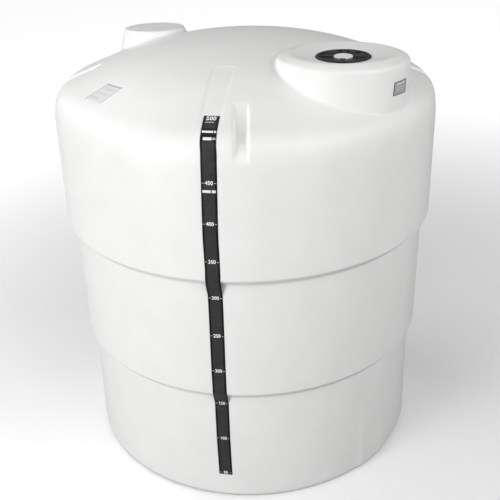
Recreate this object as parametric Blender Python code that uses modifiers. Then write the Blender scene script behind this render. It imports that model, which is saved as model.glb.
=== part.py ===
"""Upright plastic storage tank of about 1.9 cubic metres, moulded in three stepped sections.

Metres, +Z up. The origin is on the tank's axis, in the plane of its flat base. Azimuths are
in degrees about +Z from +X, and the tank's front, with the level strip, faces -Y.
"""

import math

import bmesh
import bpy
from mathutils import Matrix, Vector

# Whole tank
WALL = 0.0065
GAP = 0.0003
FACET_DEGREES = 6.0
TURN_STEPS = round(360 / FACET_DEGREES)
SECTOR_COUNT = 6
SECTOR_DEGREES = 360.0 / SECTOR_COUNT
FIRST_SEAM = -42.0

# Stepped wall: each section's radius at its foot and at its top, and the height of its lip
LOWER_FOOT_RADIUS = 0.6352
LOWER_TOP_RADIUS = 0.6294
MIDDLE_FOOT_RADIUS = 0.6508
MIDDLE_TOP_RADIUS = 0.6493
UPPER_FOOT_RADIUS = 0.675
UPPER_TOP_RADIUS = 0.6716
MIDDLE_LIP_HEIGHT = 0.4727
UPPER_LIP_HEIGHT = 0.9229
STEP_DROP = 0.024
LIP_CORNER = 0.004
BAND_OVERHANG = 0.012
BASE_CORNER_RADIUS = 0.020
BASE_CORNER_STEPS = 4

# Shoulder and crowned top
SHOULDER_HEIGHT = 1.3127
SHOULDER_RADIUS = 0.070
SHOULDER_STEPS = 6
TOP_BAND_HEIGHT = SHOULDER_HEIGHT - 0.030
EDGE_SLOPE = math.radians(27.9)
CROWN_POWER = 2.28
CROWN_STEPS = 8
CROWN_CAP_RADIUS = 0.135
CROWN_CAP_STEPS = 3

# Manway boss: a drum beside the axis, with a sloping rim and a dished top. The lid sits in a
# well at the middle of the dish. The rim and the dish are (radius, height) points inwards.
MANWAY_AZIMUTH = -43.5
MANWAY_DISTANCE = 0.430
MANWAY_FOOT_RADIUS = 0.2130
MANWAY_FOOT_HEIGHT = 1.33
MANWAY_TOP_RADIUS = 0.2082
MANWAY_TOP_HEIGHT = 1.5095
RIM_CURVE = ((0.2072, 1.5139), (0.2036, 1.5174), (0.1870, 1.5249), (0.1765, 1.5293))
RIM_RADIUS = 0.1690
RIM_HEIGHT = 1.531
DISH_CURVE = ((0.160, 1.5302), (0.152, 1.5284))
WELL_RADIUS = 0.0915
WELL_EDGE_HEIGHT = 1.5118
DISH_FLOOR_HEIGHT = 1.4918
MANHOLE_RADIUS = 0.066
BOSS_STEPS = 40

# Filler lid, its collar and its seal
COLLAR_OUTER_RADIUS = 0.0735
COLLAR_HEIGHT = 0.0110
SEAL_THICKNESS = 0.003
SEAL_OUTER_RADIUS = 0.0725
LID_RADIUS = 0.0855
LID_SKIRT_INNER_RADIUS = 0.0790
LID_SKIRT_LIFT = 0.005
LID_PLATE = 0.0045
LID_RIM_STAND = 0.0045
LID_RIM_INNER_RADIUS = 0.0765
LID_EDGE = 0.0015
SPOKE_COUNT = 4
SPOKE_AZIMUTH = -10.0
SPOKE_WIDTH = 0.018
SPOKE_HEIGHT = 0.0035
SPOKE_ROOT = 0.002
SPOKE_END_INSET = 0.003
HUB_RADIUS = 0.031
HUB_HEIGHT = 0.004

# Rear boss: a tapered drum with a flat top, for a fitting
REAR_AZIMUTH = 138.9
REAR_DISTANCE = 0.4475
REAR_TOP_RADIUS = 0.110
REAR_TOP_HEIGHT = 1.502
REAR_FOOT_RADIUS = 0.158
REAR_FOOT_HEIGHT = 1.36
REAR_EDGE_RADIUS = 0.010
REAR_EDGE_STEPS = 3

# Shapes that only cut others
PLUG_REACH = 0.08
SPACE_DEPTH = 0.2
CUTTER_CROWN_STEPS = 10

# Slots moulded across the shoulder for tie-down straps
SLOT_COUNT = 4
FIRST_SLOT_AZIMUTH = -91.4
SLOT_WIDTH = 0.042
SLOT_INNER_RADIUS = 0.506
SLOT_OUTER_HEIGHT = 1.3095
SLOT_REACH = 0.06
SLOT_RISE = 0.10

# Flat for the outlet, at the foot of the wall
OUTLET_AZIMUTH = -45.6
OUTLET_HEIGHT = 0.256
OUTLET_FACE_WIDTH = 0.1235
OUTLET_BASE_WIDTH = 0.318
OUTLET_FOOT_DISTANCE = 0.6400
OUTLET_TOP_DISTANCE = 0.6342
OUTLET_BACK_DISTANCE = 0.600
OUTLET_FOOT_CLEARANCE = 0.004

# Level strip and labels
STRIP_AZIMUTH = -99.9
STRIP_WIDTH = 0.049
STRIP_THICKNESS = 0.001
STRIP_FOOT_HEIGHT = 0.102
STRIP_END_RADIUS = 0.557
DOME_LABEL_AZIMUTHS = (-150.8, -141.0)
DOME_LABEL_RADII = (0.590, 0.500)
BOSS_LABEL_AZIMUTHS = (-50.8, -32.0)
BOSS_LABEL_HEIGHTS = (1.4265, 1.4685)
LABEL_THICKNESS = 0.0008
SHEET_STEPS = 3


def clear_scene():
    for obj in list(bpy.data.objects):
        bpy.data.objects.remove(obj, do_unlink=True)


def make_collection(name):
    collection = bpy.data.collections.new(name)
    bpy.context.scene.collection.children.link(collection)
    return collection


def make_material(name, colour, roughness):
    material = bpy.data.materials.new(name)
    material.use_nodes = True
    shader = material.node_tree.nodes["Principled BSDF"]
    shader.inputs["Base Color"].default_value = (*colour, 1.0)
    shader.inputs["Roughness"].default_value = roughness
    shader.inputs["Metallic"].default_value = 0.0
    return material


def polar(distance, azimuth, height=0.0):
    """The point at this distance from the tank's axis, at this azimuth in degrees."""
    turn = math.radians(azimuth)
    return Vector((distance * math.cos(turn), distance * math.sin(turn), height))


# Outlines of the shell, as (radius, height) points from the foot upwards


def arc(centre, radii, start, end, count):
    """Points of an ellipse's arc in the radius-height plane, from start to end degrees."""
    angles = [math.radians(start + (end - start) * i / count) for i in range(count + 1)]
    return [
        (centre[0] + radii[0] * math.cos(a), centre[1] + radii[1] * math.sin(a))
        for a in angles
    ]


def lower_outline():
    corner = BASE_CORNER_RADIUS
    foot = arc((LOWER_FOOT_RADIUS - corner, corner), (corner, corner), -90, 0, BASE_CORNER_STEPS)
    return foot + [(LOWER_TOP_RADIUS, MIDDLE_LIP_HEIGHT - STEP_DROP - BAND_OVERHANG)]


def stepped_outline(below, foot, top, lip_height, end_height):
    """A band that starts below its lip, flares out under it and runs up to end_height."""
    return [
        (below, lip_height - STEP_DROP - BAND_OVERHANG + GAP),
        (below, lip_height - STEP_DROP),
        (foot - LIP_CORNER, lip_height - LIP_CORNER),
        (foot, lip_height),
        (top, end_height),
    ]


def middle_outline():
    end = UPPER_LIP_HEIGHT - STEP_DROP - BAND_OVERHANG
    return stepped_outline(
        LOWER_TOP_RADIUS, MIDDLE_FOOT_RADIUS, MIDDLE_TOP_RADIUS, MIDDLE_LIP_HEIGHT, end
    )


def upper_outline():
    return stepped_outline(
        MIDDLE_TOP_RADIUS, UPPER_FOOT_RADIUS, UPPER_TOP_RADIUS, UPPER_LIP_HEIGHT, TOP_BAND_HEIGHT
    )


def shoulder_edge():
    """Where the shoulder's fillet meets the crowned top, and the crown's rise above it."""
    turned = math.pi / 2 - EDGE_SLOPE
    radius = UPPER_TOP_RADIUS - SHOULDER_RADIUS * (1 - math.cos(turned))
    height = SHOULDER_HEIGHT + SHOULDER_RADIUS * math.sin(turned)
    rise = math.tan(EDGE_SLOPE) * radius / CROWN_POWER
    return radius, height, rise


def top_height(radius):
    """Height of the tank's outer surface over this radius, on the shoulder or the crown."""
    edge_radius, edge_height, rise = shoulder_edge()
    if radius <= edge_radius:
        return edge_height + rise * (1 - (radius / edge_radius) ** CROWN_POWER)
    out = radius - (UPPER_TOP_RADIUS - SHOULDER_RADIUS)
    return SHOULDER_HEIGHT + math.sqrt(SHOULDER_RADIUS**2 - out**2)


def shoulder_arc():
    centre = (UPPER_TOP_RADIUS - SHOULDER_RADIUS, SHOULDER_HEIGHT)
    end = 90 - math.degrees(EDGE_SLOPE)
    return arc(centre, (SHOULDER_RADIUS, SHOULDER_RADIUS), 0, end, SHOULDER_STEPS)


def crown_arc(outer, inner, count):
    """Points of the crowned top between two radii, evenly spaced, the outer one first."""
    radii = [outer + (inner - outer) * i / count for i in range(count + 1)]
    return [(r, top_height(r)) for r in radii]


def roof_outline():
    edge_radius = shoulder_edge()[0]
    crown = crown_arc(edge_radius, CROWN_CAP_RADIUS + GAP, CROWN_STEPS)
    return [(UPPER_TOP_RADIUS, TOP_BAND_HEIGHT + GAP)] + shoulder_arc() + crown[1:]


def offset(points, distance, first=None, last=None):
    """The outline moved towards the tank's inside by distance, with mitred corners.

    first and last are the directions in which the two ends move, where they are cut level
    or upright instead of square.
    """
    points = [Vector(p) for p in points]
    runs = [(b - a).normalized() for a, b in zip(points, points[1:])]
    normals = [Vector((-run.y, run.x)) for run in runs]
    moved = []
    for i, point in enumerate(points):
        before = normals[max(i - 1, 0)]
        after = normals[min(i, len(normals) - 1)]
        moved.append(point + distance * (before + after) / (1 + before.dot(after)))
    if first:
        moved[0] = points[0] + distance * Vector(first)
    if last:
        moved[-1] = points[-1] + distance * Vector(last)
    return [tuple(p) for p in moved]


def walled(points, first=(-1, 0), last=(-1, 0)):
    """The closed outline of a wall with this outer face."""
    return points + offset(points, WALL, first, last)[::-1]


# Solids


def add_object(name, mesh, collection, material=None):
    obj = bpy.data.objects.new(name, mesh)
    collection.objects.link(obj)
    if material:
        mesh.materials.append(material)
    return obj


def shade(mesh):
    mesh.shade_smooth()
    mesh.set_sharp_from_angle(angle=math.radians(35))


def turned_segment(name, outline, start, end, steps, collection, material, centre=(0, 0)):
    """A closed outline turned about an upright axis at centre, from start to end degrees."""
    turn = math.radians(start)
    mesh = bpy.data.meshes.new(name)
    shape = bmesh.new()
    corners = [
        shape.verts.new((r * math.cos(turn), r * math.sin(turn), z)) for r, z in outline
    ]
    face = shape.faces.new(corners)
    bmesh.ops.spin(
        shape,
        geom=[face, *face.verts, *face.edges],
        axis=(0, 0, 1),
        cent=(0, 0, 0),
        angle=math.radians(end - start),
        steps=steps,
    )
    bmesh.ops.recalc_face_normals(shape, faces=shape.faces)
    shape.to_mesh(mesh)
    shape.free()
    shade(mesh)
    obj = add_object(name, mesh, collection, material)
    obj.location = (*centre, 0)
    return obj


def turned_solid(name, outline, steps, collection, material=None, place=(0, 0), turn=0.0):
    """A full turn of an outline, with a Screw modifier.

    A ring's outline is closed. A solid one starts and ends on the axis, and either runs down
    its outer side.
    """
    on_axis = outline[0][0] == 0 and outline[-1][0] == 0
    count = len(outline)
    edges = [(i, i + 1) for i in range(count - 1)]
    if not on_axis:
        edges.append((count - 1, 0))
    mesh = bpy.data.meshes.new(name)
    mesh.from_pydata([(r, 0, z) for r, z in outline], edges, [])
    obj = add_object(name, mesh, collection, material)
    screw = obj.modifiers.new("Turn", "SCREW")
    screw.steps = steps
    screw.render_steps = steps
    screw.use_merge_vertices = True
    screw.merge_threshold = 0.0001
    obj.location = (*place, 0)
    obj.rotation_euler = (0, 0, math.radians(turn))
    return obj


def add_boolean(obj, operation, other):
    boolean = obj.modifiers.new(other.name, "BOOLEAN")
    boolean.operation = operation
    boolean.object = other


def as_cutter(obj):
    obj.hide_render = True
    obj.display_type = "WIRE"
    return obj


def seams():
    """Start azimuth of each sector of the wall and the top."""
    return [FIRST_SEAM + SECTOR_DEGREES * i for i in range(SECTOR_COUNT)]


def sector(name, outline, start, radius, collection, material):
    """One sector of a wall or the top, cut back by half a gap at each seam."""
    margin = math.degrees(GAP / 2 / radius)
    steps = round(SECTOR_DEGREES / FACET_DEGREES)
    return turned_segment(
        name, outline, start + margin, start + SECTOR_DEGREES - margin, steps, collection, material
    )


def add_base(parts, plastic):
    radius = LOWER_FOOT_RADIUS - BASE_CORNER_RADIUS - GAP
    outline = [(0, WALL), (radius, WALL), (radius, 0), (0, 0)]
    turned_solid("base_plate", outline, TURN_STEPS, parts, plastic, turn=FIRST_SEAM)


def add_walls(parts, plastic):
    bands = {
        "lower_wall": walled(lower_outline(), first=(0, 1)),
        "middle_wall": walled(middle_outline()),
        "upper_wall": walled(upper_outline()),
    }
    for band, outline in bands.items():
        for number, start in enumerate(seams(), 1):
            sector(f"{band}_{number}", outline, start, LOWER_TOP_RADIUS, parts, plastic)


def manway_outer():
    """The manway drum's side and its sloping rim, from the foot up and inwards."""
    side = [(MANWAY_FOOT_RADIUS, MANWAY_FOOT_HEIGHT), (MANWAY_TOP_RADIUS, MANWAY_TOP_HEIGHT)]
    return side + list(RIM_CURVE) + [(RIM_RADIUS, RIM_HEIGHT)]


def rear_outer():
    """The rear boss's tapered side and its rounded edge, from the foot up and inwards."""
    edge = REAR_EDGE_RADIUS
    centre = (REAR_TOP_RADIUS - edge, REAR_TOP_HEIGHT - edge)
    rim = arc(centre, (edge, edge), 20, 90, REAR_EDGE_STEPS)
    return [(REAR_FOOT_RADIUS, REAR_FOOT_HEIGHT)] + rim


def cone_cutter(name, foot, top, place, cutters):
    """A tapered plug round a boss, from below the top of the tank to above it."""
    slope = (foot[0] - top[0]) / (top[1] - foot[1])
    high = top[1] + PLUG_REACH
    low = foot[1] - PLUG_REACH
    outline = [
        (0, high),
        (top[0] + GAP - slope * PLUG_REACH, high),
        (foot[0] + GAP + slope * PLUG_REACH, low),
        (0, low),
    ]
    return as_cutter(turned_solid(name, outline, BOSS_STEPS, cutters, place=place))


def tank_space(cutters):
    """The space under the top's inner face, which trims the feet of the bosses."""
    crown = crown_arc(shoulder_edge()[0], 0, CUTTER_CROWN_STEPS)[1:]
    outer = [(UPPER_TOP_RADIUS, TOP_BAND_HEIGHT)] + shoulder_arc() + crown
    inner = offset(outer, WALL, first=(-1, 0), last=(0, -1))
    foot = TOP_BAND_HEIGHT - SPACE_DEPTH
    outline = inner[::-1] + [(inner[0][0], foot), (0, foot)]
    return as_cutter(
        turned_solid("tank_space", outline, TURN_STEPS, cutters, turn=FIRST_SEAM)
    )


def tank_body(name, clearance, cutters):
    """The whole tank's outer body, grown outwards by clearance."""
    crown = crown_arc(shoulder_edge()[0], 0, CUTTER_CROWN_STEPS)[1:]
    wall = lower_outline() + middle_outline()[1:] + upper_outline()[1:]
    grown = offset(wall + shoulder_arc() + crown, -clearance, first=(0, -1), last=(0, -1))
    outline = grown[::-1] + [(0, grown[0][1])]
    return as_cutter(turned_solid(name, outline, TURN_STEPS, cutters, turn=FIRST_SEAM))


def slot_block(name, azimuth, margin, cutters, material=None):
    """The box that a strap slot cuts, its floor on the chord across the shoulder.

    margin makes it wider on both sides and deeper.
    """
    inner = Vector((SLOT_INNER_RADIUS, top_height(SLOT_INNER_RADIUS)))
    outer = Vector((UPPER_TOP_RADIUS, SLOT_OUTER_HEIGHT))
    run = outer - inner
    length = run.length + 2 * SLOT_REACH
    depth = SLOT_RISE + margin
    middle = (inner + outer) / 2
    along = run.normalized()
    up = Vector((-along.y, along.x))
    centre = middle + up * (SLOT_RISE - margin) / 2
    mesh = bpy.data.meshes.new(name)
    shape = bmesh.new()
    bmesh.ops.create_cube(shape, size=1.0)
    scale = Matrix.Diagonal((length, SLOT_WIDTH + 2 * margin, depth, 1))
    tilt = Matrix(
        (
            (along.x, 0, up.x, centre.x),
            (0, 1, 0, 0),
            (along.y, 0, up.y, centre.y),
            (0, 0, 0, 1),
        )
    )
    turn = Matrix.Rotation(math.radians(azimuth), 4, "Z")
    bmesh.ops.transform(shape, matrix=turn @ tilt @ scale, verts=shape.verts)
    shape.to_mesh(mesh)
    shape.free()
    return add_object(name, mesh, cutters, material)


def add_roof(parts, cutters, plastic, space):
    manway = polar(MANWAY_DISTANCE, MANWAY_AZIMUTH)
    rear = polar(REAR_DISTANCE, REAR_AZIMUTH)
    manway_hole = cone_cutter(
        "manway_hole",
        (MANWAY_FOOT_RADIUS, MANWAY_FOOT_HEIGHT),
        (MANWAY_TOP_RADIUS, MANWAY_TOP_HEIGHT),
        manway.xy,
        cutters,
    )
    rear_hole = cone_cutter(
        "rear_hole",
        (REAR_FOOT_RADIUS, REAR_FOOT_HEIGHT),
        (REAR_TOP_RADIUS, REAR_TOP_HEIGHT),
        rear.xy,
        cutters,
    )
    slots = [FIRST_SLOT_AZIMUTH + 360 / SLOT_COUNT * i for i in range(SLOT_COUNT)]
    outline = walled(roof_outline(), first=(-1, 0), last=(0, -1))
    for number, start in enumerate(seams(), 1):
        name = f"top_sector_{number}"
        part = sector(name, outline, start, UPPER_TOP_RADIUS, parts, plastic)
        for hole, azimuth in ((manway_hole, MANWAY_AZIMUTH), (rear_hole, REAR_AZIMUTH)):
            across = (azimuth - start - SECTOR_DEGREES / 2 + 180) % 360 - 180
            if abs(across) < SECTOR_DEGREES:
                add_boolean(part, "DIFFERENCE", hole)
        for azimuth in slots:
            if (azimuth - start) % 360 < SECTOR_DEGREES:
                cut = as_cutter(slot_block(f"{name}_slot", azimuth, WALL + GAP, cutters))
                add_boolean(part, "DIFFERENCE", cut)
    body = tank_body("tank_body", 0.0, cutters)
    for number, azimuth in enumerate(slots, 1):
        tray = slot_block(f"strap_slot_{number}", azimuth, WALL, parts, plastic)
        add_boolean(tray, "INTERSECT", body)
        channel = as_cutter(slot_block(f"channel_{number}", azimuth, 0.0, cutters))
        add_boolean(tray, "DIFFERENCE", channel)
    cap = crown_arc(CROWN_CAP_RADIUS, 0, CROWN_CAP_STEPS)
    under = offset(cap, WALL, first=(0, -1), last=(0, -1))
    outline = cap[::-1] + under
    turned_solid("crown_cap", outline, TURN_STEPS, parts, plastic, turn=FIRST_SEAM)
    add_manway(parts, plastic, space, manway)
    add_rear_boss(parts, plastic, space, rear)


def add_manway(parts, plastic, space, place):
    outer = manway_outer()
    drum = walled(outer, first=(-1, 0), last=(0, -1))
    neck = turned_solid("manway_drum", drum[::-1], BOSS_STEPS, parts, plastic, place.xy)
    add_boolean(neck, "DIFFERENCE", space)
    slope = [
        (RIM_RADIUS - GAP, RIM_HEIGHT),
        *DISH_CURVE,
        (WELL_RADIUS, WELL_EDGE_HEIGHT),
        (WELL_RADIUS, DISH_FLOOR_HEIGHT),
        (MANHOLE_RADIUS, DISH_FLOOR_HEIGHT),
    ]
    dish = walled(slope, first=(0, -1), last=(0, -1))
    turned_solid("manway_dish", dish[::-1], BOSS_STEPS, parts, plastic, place.xy)


def add_rear_boss(parts, plastic, space, place):
    outer = rear_outer()
    drum = walled(outer, first=(-1, 0), last=(0, -1))
    side = turned_solid("rear_boss_drum", drum[::-1], BOSS_STEPS, parts, plastic, place.xy)
    add_boolean(side, "DIFFERENCE", space)
    radius = REAR_TOP_RADIUS - REAR_EDGE_RADIUS - GAP
    low = REAR_TOP_HEIGHT - WALL
    disc = [(0, REAR_TOP_HEIGHT), (radius, REAR_TOP_HEIGHT), (radius, low), (0, low)]
    turned_solid("rear_boss_top", disc, BOSS_STEPS, parts, plastic, place.xy)


def add_lid(parts, cutters, white, black, rubber):
    place = polar(MANWAY_DISTANCE, MANWAY_AZIMUTH).xy
    foot = DISH_FLOOR_HEIGHT + GAP
    crest = DISH_FLOOR_HEIGHT + COLLAR_HEIGHT
    collar = [
        (COLLAR_OUTER_RADIUS, crest),
        (COLLAR_OUTER_RADIUS, foot),
        (MANHOLE_RADIUS, foot),
        (MANHOLE_RADIUS, crest),
    ]
    turned_solid("lid_collar", collar, BOSS_STEPS, parts, white, place)
    low = crest + GAP
    high = low + SEAL_THICKNESS
    seal = [
        (SEAL_OUTER_RADIUS, high),
        (SEAL_OUTER_RADIUS, low),
        (MANHOLE_RADIUS, low),
        (MANHOLE_RADIUS, high),
    ]
    turned_solid("lid_seal", seal, BOSS_STEPS, parts, rubber, place)
    under = high + GAP
    face = under + LID_PLATE
    top = face + LID_RIM_STAND
    plate = [
        (0, face),
        (LID_RIM_INNER_RADIUS - LID_EDGE, face),
        (LID_RIM_INNER_RADIUS, top),
        (LID_RADIUS - LID_EDGE, top),
        (LID_RADIUS, top - LID_EDGE),
        (LID_RADIUS, DISH_FLOOR_HEIGHT + LID_SKIRT_LIFT),
        (LID_SKIRT_INNER_RADIUS, DISH_FLOOR_HEIGHT + LID_SKIRT_LIFT),
        (LID_SKIRT_INNER_RADIUS, under),
        (0, under),
    ]
    lid = turned_solid("lid", plate, BOSS_STEPS, parts, black, place)
    for number in range(SPOKE_COUNT):
        azimuth = SPOKE_AZIMUTH + 360 / SPOKE_COUNT * number
        spoke = lid_spoke(azimuth, face, place, cutters)
        add_boolean(lid, "UNION", as_cutter(spoke))
    low = face + GAP
    hub = [
        (0, low + HUB_HEIGHT),
        (HUB_RADIUS - LID_EDGE, low + HUB_HEIGHT),
        (HUB_RADIUS, low + HUB_HEIGHT - LID_EDGE),
        (HUB_RADIUS, low),
        (0, low),
    ]
    turned_solid("lid_hub", hub, BOSS_STEPS // 2, parts, white, place)


def lid_spoke(azimuth, face, place, cutters):
    """A bar on the lid's face, from the hub to inside its rim."""
    start = HUB_RADIUS + SPOKE_ROOT
    end = LID_RIM_INNER_RADIUS + SPOKE_END_INSET
    mesh = bpy.data.meshes.new("spoke")
    shape = bmesh.new()
    bmesh.ops.create_cube(shape, size=1.0)
    height = SPOKE_HEIGHT + SPOKE_ROOT
    scale = Matrix.Diagonal((end - start, SPOKE_WIDTH, height, 1))
    turn = Matrix.Rotation(math.radians(azimuth), 4, "Z")
    middle = Vector(((start + end) / 2, 0, face + SPOKE_HEIGHT - height / 2))
    shift = Matrix.Translation(middle)
    home = Matrix.Translation((*place, 0))
    bmesh.ops.transform(shape, matrix=home @ turn @ shift @ scale, verts=shape.verts)
    shape.to_mesh(mesh)
    shape.free()
    return add_object("spoke", mesh, cutters)


def add_outlet_flat(parts, cutters, plastic):
    """A raised flat on the wall's foot, proud at its lower end and level with it at its top."""
    mesh = bpy.data.meshes.new("outlet_flat")
    shape = bmesh.new()
    bmesh.ops.create_cube(shape, size=1.0)
    for corner in shape.verts:
        outside = corner.co.x > 0
        high = corner.co.z > 0
        width = OUTLET_FACE_WIDTH if outside else OUTLET_BASE_WIDTH
        face = OUTLET_TOP_DISTANCE if high else OUTLET_FOOT_DISTANCE
        corner.co.x = face if outside else OUTLET_BACK_DISTANCE
        corner.co.y = math.copysign(width / 2, corner.co.y)
        corner.co.z = OUTLET_HEIGHT if high else OUTLET_FOOT_CLEARANCE
    turn = Matrix.Rotation(math.radians(OUTLET_AZIMUTH), 4, "Z")
    bmesh.ops.transform(shape, matrix=turn, verts=shape.verts)
    shape.to_mesh(mesh)
    shape.free()
    flat = add_object("outlet_flat", mesh, parts, plastic)
    add_boolean(flat, "DIFFERENCE", tank_body("outlet_seat", GAP, cutters))


def laid_on(points, thickness):
    """The closed outline of a thin sheet laid on this outline's outer side."""
    low = offset(points, -GAP)
    high = offset(points, -GAP - thickness)
    return low + high[::-1]


def add_strip(parts, vinyl):
    """The level strip in four lengths: on each section of the wall, and over the shoulder."""
    top = MIDDLE_LIP_HEIGHT - STEP_DROP
    share = STRIP_FOOT_HEIGHT / top
    foot_radius = LOWER_FOOT_RADIUS + (LOWER_TOP_RADIUS - LOWER_FOOT_RADIUS) * share
    stretches = {
        "level_strip_lower": [(foot_radius, STRIP_FOOT_HEIGHT), (LOWER_TOP_RADIUS, top)],
        "level_strip_middle": middle_outline()[3:],
        "level_strip_upper": upper_outline()[3:],
        "level_strip_top": [(UPPER_TOP_RADIUS, TOP_BAND_HEIGHT + 2 * GAP)]
        + shoulder_arc()
        + crown_arc(shoulder_edge()[0], STRIP_END_RADIUS, SHEET_STEPS)[1:],
    }
    for name, points in stretches.items():
        sheet = laid_on(points, STRIP_THICKNESS)
        middle_radius = (points[0][0] + points[-1][0]) / 2
        half = math.degrees(STRIP_WIDTH / 2 / middle_radius)
        turned_segment(name, sheet, STRIP_AZIMUTH - half, STRIP_AZIMUTH + half, 2, parts, vinyl)


def add_labels(parts, paper):
    patch = laid_on(crown_arc(*DOME_LABEL_RADII, SHEET_STEPS), LABEL_THICKNESS)
    turned_segment("dome_label", patch, *DOME_LABEL_AZIMUTHS, 4, parts, paper)
    slope = (MANWAY_FOOT_RADIUS - MANWAY_TOP_RADIUS) / (MANWAY_TOP_HEIGHT - MANWAY_FOOT_HEIGHT)
    side = [
        (MANWAY_TOP_RADIUS + slope * (MANWAY_TOP_HEIGHT - height), height)
        for height in BOSS_LABEL_HEIGHTS
    ]
    place = polar(MANWAY_DISTANCE, MANWAY_AZIMUTH).xy
    sheet = laid_on(side, LABEL_THICKNESS)
    turned_segment("manway_label", sheet, *BOSS_LABEL_AZIMUTHS, 4, parts, paper, place)


def main():
    clear_scene()
    parts = make_collection("storage_tank")
    cutters = make_collection("cutters")
    plastic = make_material("moulded_shell", (0.84, 0.85, 0.84), 0.42)
    white = make_material("white_fitting", (0.78, 0.78, 0.77), 0.35)
    black = make_material("black_plastic", (0.018, 0.018, 0.02), 0.35)
    rubber = make_material("seal_rubber", (0.03, 0.03, 0.03), 0.8)
    vinyl = make_material("strip_film", (0.03, 0.03, 0.033), 0.3)
    paper = make_material("label_film", (0.42, 0.43, 0.44), 0.5)
    space = tank_space(cutters)
    add_base(parts, plastic)
    add_walls(parts, plastic)
    add_roof(parts, cutters, plastic, space)
    add_lid(parts, cutters, white, black, rubber)
    add_outlet_flat(parts, cutters, plastic)
    add_strip(parts, vinyl)
    add_labels(parts, paper)


main()
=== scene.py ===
"""Looks of the upright moulded storage tank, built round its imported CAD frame.

Metres, +Z up, with the tank's axis on Z and its foot on the floor. Azimuths are in degrees about
+Z from +X, and the front, with the level strip, faces -Y. A moulded surface is a grid of points
over two parameters, worked out as whole arrays.
"""

import math

import bmesh
import bpy
import numpy as np
from mathutils import Matrix, Vector


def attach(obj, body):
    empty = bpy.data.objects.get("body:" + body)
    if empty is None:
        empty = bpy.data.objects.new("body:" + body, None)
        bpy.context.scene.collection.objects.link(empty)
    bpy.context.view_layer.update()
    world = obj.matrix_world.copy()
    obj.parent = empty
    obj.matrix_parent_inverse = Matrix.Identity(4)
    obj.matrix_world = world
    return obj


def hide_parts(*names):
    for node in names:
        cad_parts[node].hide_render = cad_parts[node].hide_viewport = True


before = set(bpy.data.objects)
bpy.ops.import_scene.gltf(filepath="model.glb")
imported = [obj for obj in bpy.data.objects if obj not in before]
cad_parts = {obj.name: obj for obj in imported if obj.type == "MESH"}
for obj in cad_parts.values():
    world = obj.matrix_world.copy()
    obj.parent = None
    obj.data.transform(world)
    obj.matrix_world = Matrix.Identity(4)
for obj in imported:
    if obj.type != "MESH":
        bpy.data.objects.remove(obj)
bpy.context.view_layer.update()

# Moulded skin, as on the CAD solids
WALL = 0.0065
LOWER_FOOT_RADIUS = 0.6352
LOWER_TOP_RADIUS = 0.6294
MIDDLE_FOOT_RADIUS = 0.6508
MIDDLE_TOP_RADIUS = 0.6493
UPPER_FOOT_RADIUS = 0.6750
UPPER_TOP_RADIUS = 0.6716
MIDDLE_LIP_HEIGHT = 0.4727
UPPER_LIP_HEIGHT = 0.9229
STEP_DROP = 0.024
LIP_EASE = 0.005
CREASE_EASE = 0.006
OVERHANG = 0.012
BASE_CORNER = 0.020

# Shoulder and crowned top
CROWN_EDGE_RADIUS = 0.6343
CROWN_EDGE_HEIGHT = 1.3746
CROWN_RISE = 0.1473
CROWN_POWER = 2.28
SHOULDER_START_RADIUS = 0.540
SHOULDER_FOOT_HEIGHT = 1.249
SHOULDER_REACH_IN = 0.120
SHOULDER_REACH_UP = 0.140

# Strap slots over the shoulder
SLOT_AZIMUTHS = (-91.4, -1.4, 88.6, 178.6)
SLOT_HALF_WIDTH = 0.0205
SLOT_SOFT = 0.0060
SLOT_INNER_RADIUS = 0.500
SLOT_FOOT_HEIGHT = 1.304
SLOT_SINK = 0.001
SLOT_SHARE = 0.52

# Shallow panel on the top, and the band that runs down from it under the level strip
PANEL_CORNERS = ((0.3125, -108.0), (0.3092, -95.1), (0.5211, -96.8), (0.5231, -104.0))
PANEL_DEPTH = 0.0015
PANEL_SOFT = 0.0036
PANEL_FADE = (0.60, 0.04)
BAND_AZIMUTH = -99.3
BAND_HALF_WIDTH = 0.032
BAND_DEPTH = 0.0007
BAND_TOP = 1.345
BAND_FADE = 0.03

# Outlet flat at the foot of the wall
OUTLET_AZIMUTH = -45.6
OUTLET_HALF_FACE = 0.0618
OUTLET_FOOT_DISTANCE = 0.6392
OUTLET_LEAN = 0.0324
OUTLET_SIDE_SLOPE = 0.408
OUTLET_TOP = 0.262
OUTLET_FADE = 0.05
OUTLET_SOFT = 0.0018

# Manway boss, from the manhole's edge over the lid's well and the dish to the rim and the side.
# Its fillet, edge and lean, like the rear boss's, are explained at boss_patch and leaned.
MANWAY = (0.3119, -0.2960)
MANWAY_CORNERS = (
    (0.0660, 1.4918),
    (0.0868, 1.4918),
    (0.0876, 1.5122),
    (0.1700, 1.5270),
    (0.2081, 1.5120),
    (0.2130, 1.3300),
)
MANWAY_EASES = (0.0030, 0.0028, 0.0080, 0.0120)
MANWAY_FILLET = 0.011
MANWAY_EDGE = (0.030, 0.052)
MANWAY_LEAN = (0.029, 0.0915, 0.1600)

# Rear boss
REAR = (-0.3372, 0.2942)
REAR_FOOT = (0.156, 1.36)
REAR_TOP = (0.114, 1.502)
REAR_ROUND = 0.008
REAR_FILLET = 0.010
REAR_EDGE = (0, 0.014)
REAR_LEAN = (0.05, 0.0, 0.0001)

# Azimuth ranges of the patches round the two bosses, clear of the slots, and the radius and the
# height that both patches lie between
MANWAY_PATCH = (-81.5, -5.5)
REAR_PATCH = (113.0, 164.5)
PATCH_TOP_RADIUS = 0.150
PATCH_FOOT_HEIGHT = 1.235

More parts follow.
